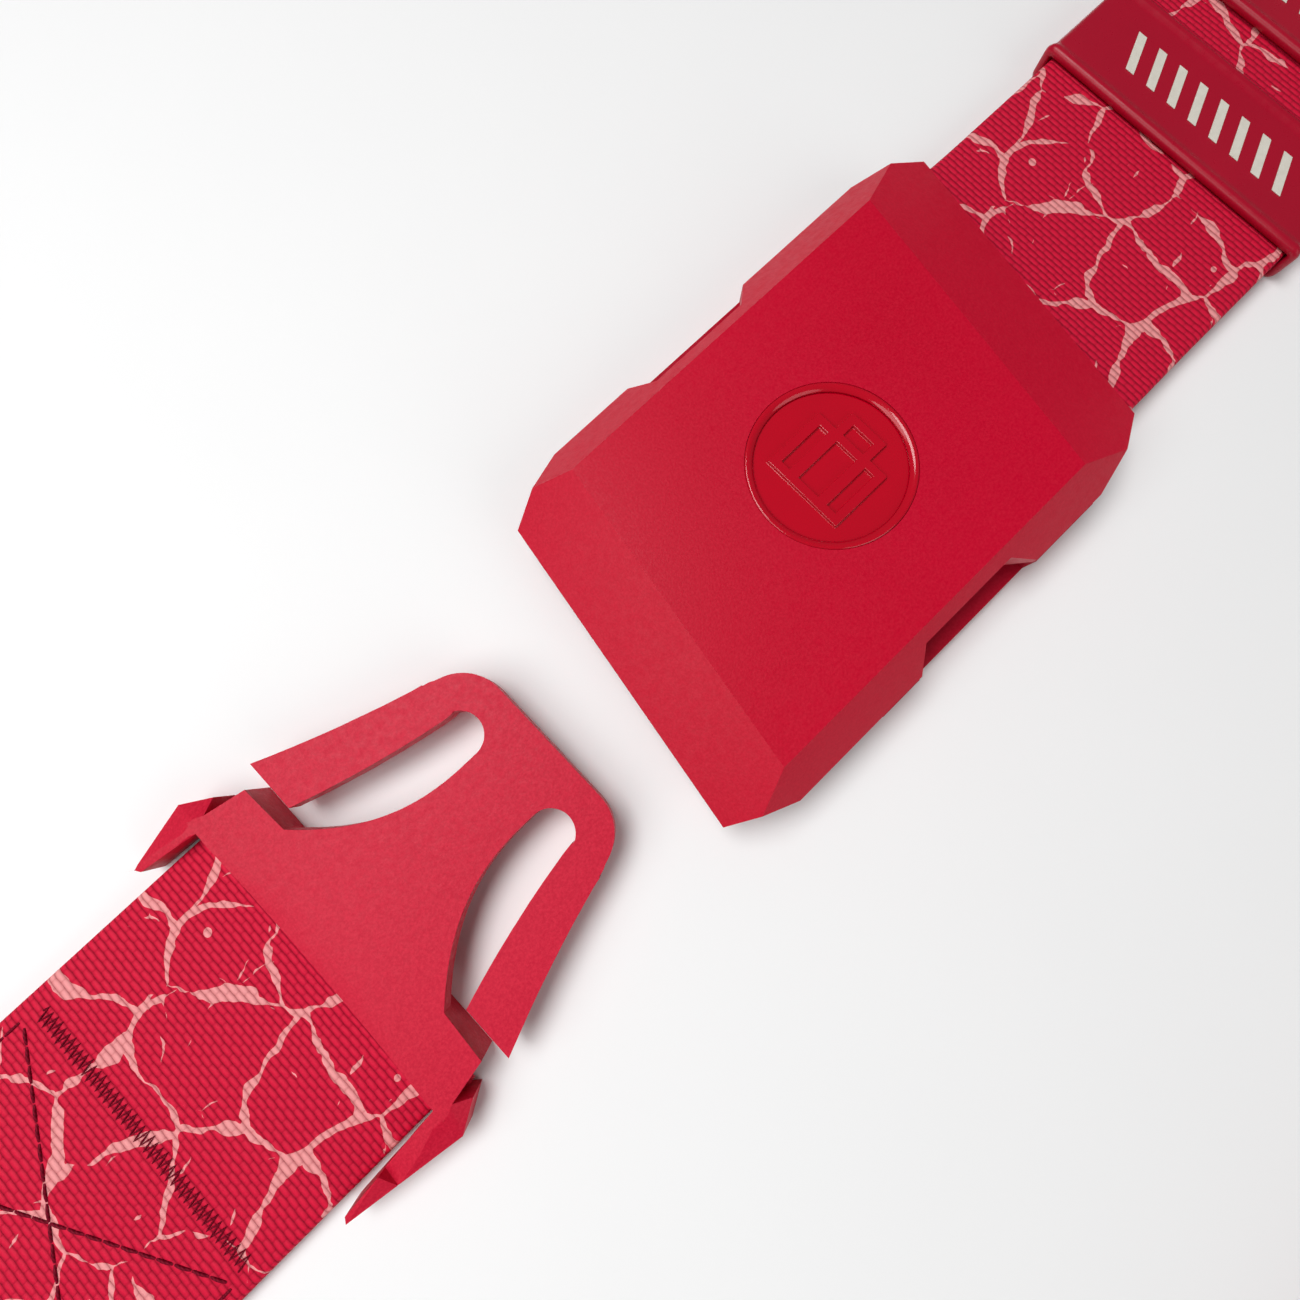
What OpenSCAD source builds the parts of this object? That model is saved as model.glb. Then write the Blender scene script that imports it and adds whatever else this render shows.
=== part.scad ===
// Luggage strap with a side-release buckle, laid out flat with the buckle open.
// +X runs along the strap from the tongue to the housing, +Z is up, and the origin
// is on the underside of the housing's base, under the middle of the badge.

/* [Webbing] */
// Width of the webbing
web_w = 50; // [49:0.5:50]
// Thickness of the webbing
web_t = 1.3; // [1.1:0.1:1.3]
// Height from one laid layer of webbing to the next
layer_step = 1.6; // [1.6:0.05:1.7]

/* [Layout] */
// Middle of the webbing that runs across on the tongue's side
left_run_x = -205; // [-230:5:-205]
// Middle of the webbing that runs across on the housing's side
right_run_x = 215; // [215:5:240]
// Middle of the webbing that returns behind the buckle
return_y = -165; // [-200:5:-165]
// Where the tail of the webbing ends
tail_end_x = 152; // [150:1:160]
// Middle of the folded spare webbing
hank_x = 15; // [10:1:15]
// Length of the folded spare webbing
hank_len = 140; // [140:1:150]

/* [Housing] */
// Height of the cover's flat top
cover_h = 13.5; // [13:0.5:15]
// Length of the cover in front of the origin
cover_front = 41.5; // [41:0.5:42]
// Length of the cover behind the origin
cover_rear = 45; // [44:0.5:46]
// Width of the cover at its side corners
cover_w = 60; // [60:0.5:61]
// Width of the cover's front and rear edges
cover_end_w = 50.4; // [49:0.2:51]
// Underside of the cover's rim
rim_z = 7.05; // [7.05:0.05:7.2]
// Height of the rim's upright edge
rim_h = 1.1; // [0.8:0.1:1.2]
// Wall of the cover
cover_wall = 1.8; // [1.6:0.1:2]
// How far the ends lean back for each unit of width
slant = 0.162; // [0.15:0.002:0.17]
// Diameter of the badge
badge_d = 24.4; // [22:0.2:25]

/* [Tongue] */
// Distance from the origin to the rear edge of the tongue's plate
tongue_x = -98.5; // [-100:0.5:-98.5]
// Top of the tongue's plate
plate_top = 6.7; // [6.5:0.05:6.7]
// Thickness of the tongue's plate
plate_t = 3.3; // [3:0.1:3.3]

/* [Keepers] */
// Length of a keeper along the strap
keeper_len = 19.4; // [18:0.2:20]
// Middle of the keeper nearer the housing
keeper_front_x = 91.6; // [90:0.2:92]
// Middle of the keeper nearer the tail's end
keeper_rear_x = 120.7; // [120:0.1:121]

/* [Hidden] */

$fn = 48;
eps = 0.01;
gap = 0.3;
far = 60;

// Colours
red_plastic = "crimson";
red_dark = "firebrick";
red_web = [0.80, 0.08, 0.22];
thread_colour = [0.43, 0.04, 0.12];
steel = "silver";

// Webbing levels: the middle height of each layer laid on the last
half_w = web_w / 2;
function level(n) = n * layer_step + web_t / 2;

// Cover
top_front = -30.5;
top_rear = 29.5;
top_half_w = 24.5;
rim_top = rim_z + rim_h;
corner_front = -30.6;
corner_rear = 32.6;
cover_half = cover_w / 2;
end_half = cover_end_w / 2;
badge_depth = 1.2;
badge_seat_gap = 0.05;
// Side windows: where they open at the rim and at the inner edge
window_rim = [-11, 14];
window_inner = [-8.2, 9.2];
window_y = 26.6;

// Base
base_t = 1.6;
base_half = cover_half + 0.3;
base_front = -18.6;
base_rear = 37;
wall_inner = 27.6;
catch_t = 1.3;
catch_inner = 23.6;
window_sill = 3.2;
cheek_inner = half_w + 0.4;
bar_x = 22;
bar_r = 1.8;
bar_z = base_t + gap + web_t + bar_r;
friction_x = 31.5;
friction_r = 1.4;
friction_z = 8.4;
bar_fit = 0.03;

// Tongue, measured from the rear edge of its plate
plate_z = plate_top - plate_t;
nose_u = 43.6;
nose_half = 10.5;
nose_r = 7.2;
slot_u = 35.1;
slot_y = 9.4;
slot_r = 3.5;
pivot_u = 36;
pivot_y = 15.3;
pivot_r = 2.8;
pivot_gap = 0.06;
tip_u = 11.45;
flank_start = 33.5;
flank_low = 5.9;
arm_out_u = 36.1;
arm_in_u = 34.4;
lip_drop = 0.9;
lip_len = 4.3;
lip_r = 294;
shoulder_u = 8.63;
shoulder_y = 24.55;
notch_u = 2.37;
notch_y = 25.75;
crossbar_u = 3.8;
crossbar_r = 0.9;
crossbar_z = web_t + crossbar_r + 0.1;
pocket_top = 5.1;
ear_y = 29.9;
block_z = 0;
ear_long = -18;
ear_short = -10.1;

// Sewn end
flap_end = -64.5;
box_start = -33.6;
box_len = 26.4;
stitch_half = 22;
zigzag_u = -32.2;
stitch_h = 0.3;

// Keepers
keeper_wall = 1.1;
keeper_inner_half = half_w + gap;
keeper_floor = keeper_wall;
keeper_roof = level(2) + web_t / 2 + gap;

// Hank
hank_bottom = web_t + gap;
hank_layers = 6;
hank_top = hank_bottom + hank_layers * 1.5;
tie_len = 20;
tie_t = 1;
slide_end_x = 5;

// Leans a plan outline so that its ends follow the slant
function lean(points) = [for (p = points) [p[0] + slant * p[1], p[1]]];
function mirror_y(points) = [for (i = [len(points) - 1 : -1 : 0]) [points[i][0], -points[i][1]]];

// ---------- helpers ----------

// A strip of webbing whose side view follows middle-line points [x, z]
module strip(line, width = web_w) {
    low = [for (p = line) [p[0], p[1] - web_t / 2]];
    high = [for (i = [len(line) - 1 : -1 : 0]) [line[i][0], line[i][1] + web_t / 2]];
    translate([0, width / 2, 0])
        rotate([90, 0, 0])
            linear_extrude(width)
                polygon(concat(low, high));
}

// A webbing run across the layout at x, folded at 45 degrees at both ends
module cross_run(x, outer) {
    inner_x = x - outer * half_w;
    outer_x = x + outer * half_w;
    linear_extrude(web_t)
        polygon([[inner_x, half_w], [outer_x, -half_w], [outer_x, return_y + half_w], [inner_x, return_y - half_w]]);
}

module bar(x, z, r, length) {
    translate([x, length / 2, z])
        rotate([90, 0, 0])
            cylinder(h = length, r = r);
}

// ---------- housing ----------

module roof(inset, z_low, z_high, widen) {
    hull() {
        translate([0, 0, z_high - eps])
            linear_extrude(eps)
                polygon(lean([[top_front + inset, -top_half_w + inset], [top_rear - inset, -top_half_w + inset],
                              [top_rear - inset, top_half_w - inset], [top_front + inset, top_half_w - inset]]));
        translate([0, 0, z_low])
            linear_extrude(eps)
                polygon(lean([[-cover_front + widen, -cover_half + widen], [cover_rear - widen, -cover_half + widen],
                              [cover_rear - widen, cover_half - widen], [-cover_front + widen, cover_half - widen]]));
    }
}

module outline(inset) {
    polygon(lean([[-cover_front + inset, -end_half + inset / 2], [corner_front + inset / 2, -cover_half + inset],
                  [corner_rear - inset / 2, -cover_half + inset], [cover_rear - inset, -end_half + inset / 2],
                  [cover_rear - inset, end_half - inset / 2], [corner_rear - inset / 2, cover_half - inset],
                  [corner_front + inset / 2, cover_half - inset], [-cover_front + inset, end_half - inset / 2]]));
}

module window_cut(side) {
    translate([0, 0, rim_z - 1])
        linear_extrude(10)
            polygon([[window_rim[0] - 1, side * (cover_half + 1.5)], [window_inner[0], side * window_y],
                     [window_inner[1], side * window_y], [window_rim[1] + 1.5, side * (cover_half + 1.5)]]);
}

module housing_cover() {
    color(red_plastic)
        difference() {
            intersection() {
                translate([0, 0, rim_z])
                    linear_extrude(cover_h - rim_z)
                        outline(0);
                union() {
                    roof(0, rim_top, cover_h, 0);
                    translate([0, 0, rim_z])
                        linear_extrude(rim_h + eps)
                            outline(0);
                }
            }
            intersection() {
                translate([0, 0, rim_z - 1])
                    linear_extrude(cover_h)
                        outline(cover_wall);
                roof(cover_wall / 2, rim_z - 1, cover_h - cover_wall, cover_wall);
            }
            translate([0, 0, cover_h - badge_depth])
                cylinder(h = far, r = badge_d / 2 + badge_seat_gap, $fn = 96);
            window_cut(1);
            window_cut(-1);
            bar(friction_x, friction_z, friction_r + bar_fit, web_w + 4);
        }
}

module base_wall(side) {
    wall_end = corner_rear + side * slant * base_half - 1;
    difference() {
        translate([base_front, side > 0 ? wall_inner : -base_half, 0])
            cube([wall_end - base_front, base_half - wall_inner, rim_z]);
        translate([window_rim[0], side > 0 ? wall_inner - 1 : -base_half - 1, window_sill])
            cube([window_rim[1] - window_rim[0], base_half - wall_inner + 2, rim_z]);
    }
    // The catch that an arm springs out behind
    translate([base_front, side > 0 ? catch_inner : -wall_inner - eps, 0])
        cube([catch_t, wall_inner - catch_inner + eps, rim_z]);
    // The cheek that holds the adjuster bar
    difference() {
        translate([bar_x - 4, side > 0 ? cheek_inner : -wall_inner - eps, 0])
            cube([8, wall_inner - cheek_inner + eps, rim_z]);
        bar(bar_x, bar_z, bar_r + bar_fit, web_w + 4);
    }
}

module housing_base() {
    color(red_dark)
        union() {
            linear_extrude(base_t)
                polygon([[base_front, -base_half], [corner_rear - slant * base_half, -base_half],
                         [base_rear - slant * end_half, -end_half + 1], [base_rear + slant * end_half, end_half - 1],
                         [corner_rear, base_half], [base_front, base_half]]);
            base_wall(1);
            base_wall(-1);
        }
}

// A generic suitcase in low relief, leaning with the housing
module badge_disc() {
    face_z = cover_h - 0.75;
    relief = 0.55;
    stroke = 1.4;
    case_x = [-6, 4.4];
    case_half = 6.6;
    color(red_plastic) {
        translate([0, 0, cover_h - badge_depth])
            cylinder(h = face_z - cover_h + badge_depth, r = badge_d / 2, $fn = 96);
        translate([0, 0, face_z - eps])
            linear_extrude(relief + eps)
                difference() {
                    union() {
                        translate([case_x[0], -case_half])
                            square([case_x[1] - case_x[0], 2 * case_half]);
                        translate([case_x[1] - eps, -3.3])
                            square([3.4, 6.6]);
                    }
                    translate([case_x[0] + stroke, -case_half + stroke])
                        square([case_x[1] - case_x[0] - 2 * stroke, 1.6]);
                    translate([case_x[0] + stroke, case_half - stroke - 1.6])
                        square([case_x[1] - case_x[0] - 2 * stroke, 1.6]);
                    translate([case_x[0] + stroke, -1.9])
                        square([case_x[1] - case_x[0] - 2 * stroke, 3.8]);
                    translate([case_x[1], -3.3 + stroke])
                        square([3.4 - stroke, 6.6 - 2 * stroke]);
                }
    }
}

module adjuster_bar() {
    color(steel)
        bar(bar_x, bar_z, bar_r, web_w + 4);
}

module friction_bar() {
    color(steel)
        bar(friction_x, friction_z, friction_r, web_w + 4);
}

// ---------- webbing on the housing's side ----------

module webbing_housing_run() {
    wrap_mid = bar_r + web_t / 2;
    crease_x = right_run_x;
    color(red_web) {
        intersection() {
            strip([[bar_x, bar_z - wrap_mid], [44, bar_z - wrap_mid], [58, level(1)],
                   [right_run_x + half_w, level(1)]]);
            translate([0, 0, -1])
                linear_extrude(20)
                    polygon([[0, -half_w], [crease_x + half_w, -half_w], [crease_x - half_w, half_w], [0, half_w]]);
        }
        // The turn round the adjuster bar
        difference() {
            bar(bar_x, bar_z, bar_r + web_t, web_w);
            bar(bar_x, bar_z, bar_r + bar_fit, web_w + 1);
            translate([bar_x, -far, 0])
                cube([far, 2 * far, far]);
        }
    }
}

module webbing_tail() {
    color(red_web)
        strip([[bar_x + eps, bar_z + bar_r + web_t / 2 + 0.1], [bar_x + 0.6, bar_z + bar_r + web_t / 2 + 0.1],
               [friction_x - 0.5, 6.2], [43, 4.7], [60, level(2)],
               [tail_end_x, level(2)]]);
}

module webbing_right_run() {
    color(red_web)
        cross_run(right_run_x, 1);
}

module webbing_return_run() {
    end_x = hank_x + hank_len / 2 + 0.1;
    color(red_web)
        translate([0, return_y, 0])
            intersection() {
                strip([[end_x, hank_bottom + 1.2], [end_x + 10, level(0)], [right_run_x - half_w - 12, level(0)],
                       [right_run_x - half_w - 2, level(1)], [right_run_x + half_w, level(1)]]);
                translate([0, 0, -1])
                    linear_extrude(20)
                        polygon([[0, -half_w], [right_run_x - half_w, -half_w], [right_run_x + half_w, half_w], [0, half_w]]);
            }
}

module hank_profile(grow) {
    r = (hank_top - hank_bottom) / 2;
    translate([hank_x, hank_bottom + r])
        hull() {
            for (end = [-1, 1])
                translate([end * (hank_len / 2 - r), 0])
                    circle(r = r + grow, $fn = 32);
        }
}

module webbing_hank() {
    color(red_web)
        difference() {
            translate([0, return_y + half_w, 0])
                rotate([90, 0, 0])
                    linear_extrude(web_w)
                        hank_profile(0);
            // The groove that the tie pulls in
            difference() {
                translate([hank_x - tie_len / 2 - gap, return_y - far / 2, 0])
                    cube([tie_len + 2 * gap, far, far]);
                translate([hank_x - tie_len, return_y - half_w + tie_t, hank_bottom + tie_t])
                    cube([2 * tie_len, web_w - 2 * tie_t, hank_top - hank_bottom - 2 * tie_t]);
            }
        }
}

module hank_tie() {
    color(red_dark)
        difference() {
            translate([hank_x - tie_len / 2, return_y - half_w, hank_bottom])
                cube([tie_len, web_w, hank_top - hank_bottom]);
            translate([hank_x - tie_len, return_y - half_w + tie_t, hank_bottom + tie_t])
                cube([2 * tie_len, web_w - 2 * tie_t, hank_top - hank_bottom - 2 * tie_t]);
        }
}

// ---------- tongue ----------

// Curved edges: the body's flank, and the outer and inner edges of an arm, each from its root back
function flank_edge(u) = flank_low + 0.9 * pow(max(0, flank_start - u) / 8.7, 2.4);
function arm_outer_edge(u) = 18.3 + 0.27 * (arm_out_u - u) + 0.003 * pow(arm_out_u - u, 2);
function arm_inner_edge(u) = 12.6 + 0.17 * (arm_in_u - u) + 0.0035 * pow(arm_in_u - u, 2);
function flank() = [for (u = [slot_u : -1 : 9.1]) [u, flank_edge(u)]];
function arm_outer() = [for (i = [0 : 16]) let (u = 35.9 - (35.9 - tip_u) * i / 16) [u, arm_outer_edge(u)]];
function arm_inner() = [for (i = [0 : 16]) let (u = tip_u + (arm_in_u - tip_u) * i / 16) [u, arm_inner_edge(u)]];

// Plan of the tongue's plate without its arms, one side, from the nose back
function half_plate() = concat([[nose_u, 0], [nose_u, pivot_y + 5], [pivot_u + 0.06, pivot_y + 5],
                                [pivot_u + 0.06, pivot_y], [slot_u, slot_y]],
                               flank(), [[shoulder_u, shoulder_y], [notch_u, notch_y], [0, 24.6], [0, 0]]);

module nose_plan() {
    hull() {
        for (y = [-nose_half, nose_half])
            translate([nose_u - nose_r, y])
                circle(r = nose_r);
        translate([29.3, -arm_outer_edge(29.3)])
            square([1, 2 * arm_outer_edge(29.3)]);
    }
}

module plate_plan() {
    difference() {
        union() {
            polygon(concat(half_plate(), mirror_y(half_plate())));
        }
        for (side = [-1, 1]) {
            translate([slot_u, side * slot_y])
                circle(r = slot_r);
            translate([pivot_u, side * pivot_y])
                circle(r = pivot_r + pivot_gap);
            // Room for the arm's root to turn
            polygon([[pivot_u, side * pivot_y], [slot_u - 2, side * (pivot_y + 8)], [slot_u - 6, side * 9],
                     [slot_u, side * (slot_y + 0.5)], [pivot_u + 0.55, side * (slot_y + 2.4)]]);
        }
    }
}

module plate_outline() {
    intersection() {
        plate_plan();
        union() {
            nose_plan();
            translate([-30, -31])
                square([63, 62]);
        }
    }
}

module arm_plan() {
    translate([pivot_u, pivot_y])
        circle(r = pivot_r);
    polygon(concat([[pivot_u - 0.05, pivot_y + pivot_r - 0.05]], arm_outer(), arm_inner(),
                   [[pivot_u - 0.4, pivot_y - pivot_r + 0.05]]));
}

// The shallow scoop that runs down to the plate's rear edge
module rear_lip() {
    translate([0, 0, plate_top - lip_drop])
        rotate([0, -atan(lip_drop / lip_len), 0])
            translate([-10, 0, lip_r])
                rotate([0, 90, 0])
                    cylinder(h = 40, r = lip_r, $fn = 720);
}

module ear(side, tip) {
    // Side view across the ear: upright inside, sloped outside
    difference() {
        hull() {
            translate([0, 0, block_z])
                linear_extrude(5.2)
                    polygon([[4.2, side * 27.3], [0, side * ear_y], [tip, side * 27.2], [tip + 0.5, side * 26.4],
                             [notch_u, side * 25.7]]);
            translate([0, 0, plate_top - eps])
                linear_extrude(eps)
                    polygon([[notch_u, side * notch_y], [1, side * 26.4], [tip + 8, side * 25.6], [0, side * 24.6]]);
        }
    }
}

module tongue() {
    color(red_plastic)
        translate([tongue_x, 0, 0]) {
            difference() {
                union() {
                    translate([0, 0, plate_z])
                        linear_extrude(plate_t)
                            plate_outline();
                    // The deep block behind the shoulders
                    translate([0, 0, block_z])
                        linear_extrude(plate_top - block_z)
                            polygon([[shoulder_u, -shoulder_y], [shoulder_u, shoulder_y], [notch_u, notch_y],
                                     [0, 26.6], [0, -26.6], [notch_u, -notch_y]]);
                    ear(1, ear_short);
                    ear(-1, ear_long);
                }
                // The pocket that the webbing turns in
                translate([-far, -half_w - 0.5, -1])
                    cube([far + crossbar_u + crossbar_r + web_t + 0.5, web_w + 1, pocket_top + 1]);
                rear_lip();
            }
            bar(crossbar_u, crossbar_z, crossbar_r, web_w + 2);
        }
}

module arm_left() {
    color(red_plastic)
        translate([tongue_x, 0, plate_z])
            linear_extrude(plate_t)
                arm_plan();
}

module arm_right() {
    mirror([0, 1, 0])
        arm_left();
}

// ---------- webbing on the tongue's side ----------

module webbing_tongue_run() {
    mid_r = crossbar_r + web_t / 2;
    end_x = left_run_x - half_w;
    color(red_web) {
        intersection() {
            strip([[end_x, level(1)], [tongue_x - 16, level(1)], [tongue_x + crossbar_u - 0.6, crossbar_z + mid_r + 0.1],
                   [tongue_x + crossbar_u, crossbar_z + mid_r + 0.1]]);
            translate([0, 0, -1])
                linear_extrude(20)
                    polygon([[0, -half_w], [end_x, -half_w], [left_run_x + half_w, half_w], [0, half_w]]);
        }
        // The turn round the tongue's crossbar
        difference() {
            bar(tongue_x + crossbar_u, crossbar_z, crossbar_r + web_t, web_w);
            bar(tongue_x + crossbar_u, crossbar_z, crossbar_r + bar_fit, web_w + 1);
            translate([tongue_x + crossbar_u - far, -far, -1])
                cube([far, 2 * far, far]);
        }
    }
}

module webbing_sewn_flap() {
    mid_r = crossbar_r + web_t / 2;
    color(red_web)
        strip([[tongue_x + flap_end, level(0)], [tongue_x - 3, level(0)],
               [tongue_x + crossbar_u - eps, crossbar_z - mid_r]]);
}

module webbing_left_run() {
    color(red_web)
        cross_run(left_run_x, -1);
}

module webbing_left_return() {
    end_x = left_run_x - half_w;
    color(red_web)
        translate([0, return_y, 0])
            intersection() {
                strip([[end_x, level(1)], [left_run_x + half_w + 2, level(1)], [left_run_x + half_w + 12, level(0)],
                       [slide_end_x, level(0)]]);
                translate([0, 0, -1])
                    linear_extrude(20)
                        polygon([[slide_end_x, -half_w], [left_run_x + half_w, -half_w], [end_x, half_w],
                                 [slide_end_x, half_w]]);
            }
}

module zigzag_stitching() {
    pitch = 1.1;
    width = 2.2;
    count = floor(2 * stitch_half / pitch);
    color(thread_colour)
        translate([tongue_x + zigzag_u, 0, level(1) + web_t / 2])
            for (i = [0 : count - 1])
                translate([0, (i - (count - 1) / 2) * pitch, 0])
                    rotate([0, 0, 20])
                        translate([-width / 2, -0.25, 0])
                            cube([width, 0.5, stitch_h]);
}

module stitch_line(a, b) {
    pitch = 3;
    span = norm(b - a);
    count = floor(span / pitch);
    heading = atan2(b[1] - a[1], b[0] - a[0]);
    for (i = [0 : count - 1]) {
        mid = a + (b - a) * (i + 0.5) / count;
        translate([mid[0], mid[1], 0])
            rotate([0, 0, heading])
                translate([-1.1, -0.25, 0])
                    cube([2.2, 0.5, stitch_h]);
    }
}

module box_stitching() {
    near = box_start - 1.6;
    back = box_start - box_len;
    color(thread_colour)
        translate([tongue_x, 0, level(1) + web_t / 2]) {
            stitch_line([near, stitch_half], [back, -stitch_half]);
            stitch_line([near, -stitch_half], [back, stitch_half]);
            stitch_line([near, stitch_half + 0.9], [back, stitch_half + 0.9]);
            stitch_line([near, -stitch_half - 0.9], [back, -stitch_half - 0.9]);
            stitch_line([back - 1.2, -stitch_half], [back - 1.2, stitch_half]);
        }
}

// ---------- keepers ----------

module keeper(x) {
    color(red_dark)
        translate([x - keeper_len / 2, 0, 0])
            rotate([90, 0, 90])
                linear_extrude(keeper_len)
                    difference() {
                        translate([-keeper_inner_half - keeper_wall, 0])
                            square([2 * (keeper_inner_half + keeper_wall), keeper_roof + keeper_wall]);
                        translate([-keeper_inner_half, keeper_floor])
                            square([2 * keeper_inner_half, keeper_roof - keeper_floor]);
                    }
}

module keeper_front() {
    keeper(keeper_front_x);
}

module keeper_rear() {
    keeper(keeper_rear_x);
}

housing_cover();
housing_base();
badge_disc();
adjuster_bar();
friction_bar();
webbing_housing_run();
webbing_tail();
webbing_right_run();
webbing_return_run();
webbing_hank();
hank_tie();
tongue();
arm_left();
arm_right();
webbing_tongue_run();
webbing_sewn_flap();
webbing_left_run();
webbing_left_return();
zigzag_stitching();
box_stitching();
keeper_front();
keeper_rear();
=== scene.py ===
"""Luggage strap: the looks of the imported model, in metres."""
import math

import bmesh
import bpy
from mathutils import Matrix, Vector


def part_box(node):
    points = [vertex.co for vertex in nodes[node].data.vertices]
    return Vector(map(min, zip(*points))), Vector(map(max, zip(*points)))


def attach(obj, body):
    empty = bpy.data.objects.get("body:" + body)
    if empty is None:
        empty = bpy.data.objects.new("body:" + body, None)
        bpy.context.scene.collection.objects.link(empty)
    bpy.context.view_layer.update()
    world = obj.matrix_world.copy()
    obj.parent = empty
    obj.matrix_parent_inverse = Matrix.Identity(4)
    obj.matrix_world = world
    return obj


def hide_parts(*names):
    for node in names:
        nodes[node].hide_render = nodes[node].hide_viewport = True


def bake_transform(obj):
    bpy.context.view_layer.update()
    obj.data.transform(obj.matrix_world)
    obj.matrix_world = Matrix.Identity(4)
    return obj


MM = 0.001
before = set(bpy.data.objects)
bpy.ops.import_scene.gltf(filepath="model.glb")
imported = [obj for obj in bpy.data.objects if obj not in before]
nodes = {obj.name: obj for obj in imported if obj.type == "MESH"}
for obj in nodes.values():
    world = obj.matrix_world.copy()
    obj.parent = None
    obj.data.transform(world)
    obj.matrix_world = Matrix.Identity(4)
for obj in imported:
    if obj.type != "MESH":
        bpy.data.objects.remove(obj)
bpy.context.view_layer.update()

# ---------- sizes that the CAD model also uses, in metres ----------
HALF_W = 25 * MM
WEB_T = 1.3 * MM
STEP = 1.6 * MM
TONGUE_X = -98.5 * MM
LEFT_X = -205 * MM
RIGHT_X = 215 * MM
RETURN_Y = -165 * MM
TAIL_END = 152 * MM
BADGE_R = 12.2 * MM
COVER_TOP = 13.5 * MM
PIVOT = Vector((TONGUE_X + 36 * MM, 15.3 * MM, 5 * MM))
# How far an arm reaches back from its pivot
ARM_REACH = 25.2 * MM
# An arm's inner edge, in millimetres: its root, then a straight and a curved term going back
ARM_ROOT_U = 34.4
ARM_ROOT_Y = 12.6
ARM_SPREAD = 0.17
ARM_CURVE = 0.0035
ARM_MARGIN = 0.4


def level(n):
    return n * STEP + WEB_T / 2


# ---------- materials ----------

class Graph:
    """A short way to build a material's nodes."""

    def __init__(self, name):
        self.material = bpy.data.materials.new(name)
        self.material.use_nodes = True
        self.tree = self.material.node_tree
        self.bsdf = self.tree.nodes["Principled BSDF"]

    def add(self, kind, **values):
        node = self.tree.nodes.new(kind)
        for key, value in values.items():
            if key.startswith("in_"):
                slot = key[3:]
                self.put(value, node.inputs[int(slot) if slot.isdigit() else slot])
            else:
                setattr(node, key, value)
        return node

    def put(self, value, socket):
        if hasattr(value, "is_output"):
            self.tree.links.new(value, socket)
        else:
            socket.default_value = value

    def math(self, operation, a, b=0.0, c=0.0):
        return self.add("ShaderNodeMath", operation=operation, in_0=a, in_1=b, in_2=c).outputs[0]

    def noise(self, vector, scale, detail=3.0, roughness=0.5):
        node = self.add("ShaderNodeTexNoise", in_Vector=vector, in_Scale=scale, in_Detail=detail,
                        in_Roughness=roughness)
        return node.outputs["Fac"]

    def colour_noise(self, vector, scale):
        node = self.add("ShaderNodeTexNoise", in_Vector=vector, in_Scale=scale, in_Detail=2.0)
        return node.outputs["Color"]

    def vector(self, operation, a, b):
        return self.add("ShaderNodeVectorMath", operation=operation, in_0=a, in_1=b).outputs[0]

    def scaled(self, vector, factor):
        return self.add("ShaderNodeVectorMath", operation="SCALE", in_0=vector, in_Scale=factor).outputs[0]

    def ramp(self, value, low, high, to_low=0.0, to_high=1.0):
        node = self.add("ShaderNodeMapRange", in_0=value, in_1=low, in_2=high, in_3=to_low, in_4=to_high)
        return node.outputs[0]

    def mix(self, factor, a, b):
        node = self.add("ShaderNodeMix", data_type="RGBA", in_0=factor)
        self.put(a, node.inputs[6])
        self.put(b, node.inputs[7])
        return node.outputs[2]

    def set(self, name, value):
        self.put(value, self.bsdf.inputs[name])

    def bump(self, height, strength, distance):
        node = self.add("ShaderNodeBump", in_Strength=strength, in_Distance=distance, in_Height=height)
        self.set("Normal", node.outputs[0])


def place(graph):
    return graph.add("ShaderNodeTexCoord").outputs["Object"]


def grained_plastic(name, colour, deep, roughness=0.42, grain=0.3, sheen_tint=0.4):
    """Moulded plastic with a spark-eroded grain, and pale speckles painted into its colour as the grain's
    sparkle highlights.
    """
    g = Graph(name)
    at = place(g)
    cells = g.add("ShaderNodeTexVoronoi", in_Vector=at, in_Scale=3200.0).outputs["Distance"]
    fine = g.noise(at, 2600.0, 2.0, 0.6)
    broad = g.noise(at, 28.0, 3.0, 0.5)
    # Pale speckles painted into the base colour stand in for the sparkle highlights of the grain
    painted_sparkle = g.ramp(fine, 0.35, 0.7)
    body = g.mix(g.ramp(broad, 0.3, 0.7), deep, colour)
    light = tuple(min(1.0, c * 1.25 + 0.012) for c in colour[:3]) + (1.0,)
    g.set("Base Color", g.mix(g.math("MULTIPLY", painted_sparkle, sheen_tint), body, light))
    g.set("Roughness", g.ramp(g.noise(at, 900.0, 2.0), 0.3, 0.7, roughness - 0.05, roughness + 0.08))
    g.set("Specular IOR Level", 0.17)
    g.bump(g.math("ADD", g.math("MULTIPLY", cells, 0.5), fine), grain, 0.05 * MM)
    return g.material


def polished_plastic(name, colour):
    g = Graph(name)
    at = place(g)
    haze = g.noise(at, 140.0, 3.0)
    g.set("Base Color", g.mix(haze, colour, tuple(c * 0.85 for c in colour[:3]) + (1.0,)))
    g.set("Roughness", g.ramp(haze, 0.3, 0.7, 0.10, 0.16))
    g.set("Specular IOR Level", 0.3)
    g.set("Coat Weight", 0.35)
    g.set("Coat Roughness", 0.05)
    g.bump(haze, 0.04, 0.05 * MM)
    return g.material


def rubber(name, colour):
    g = Graph(name)
    at = place(g)
    fine = g.noise(at, 700.0, 3.0)
    g.set("Base Color", g.mix(g.noise(at, 60.0), colour, tuple(c * 0.8 for c in colour[:3]) + (1.0,)))
    g.set("Roughness", g.ramp(fine, 0.3, 0.7, 0.26, 0.36))
    g.set("Specular IOR Level", 0.3)
    g.bump(fine, 0.06, 0.05 * MM)
    return g.material


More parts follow.
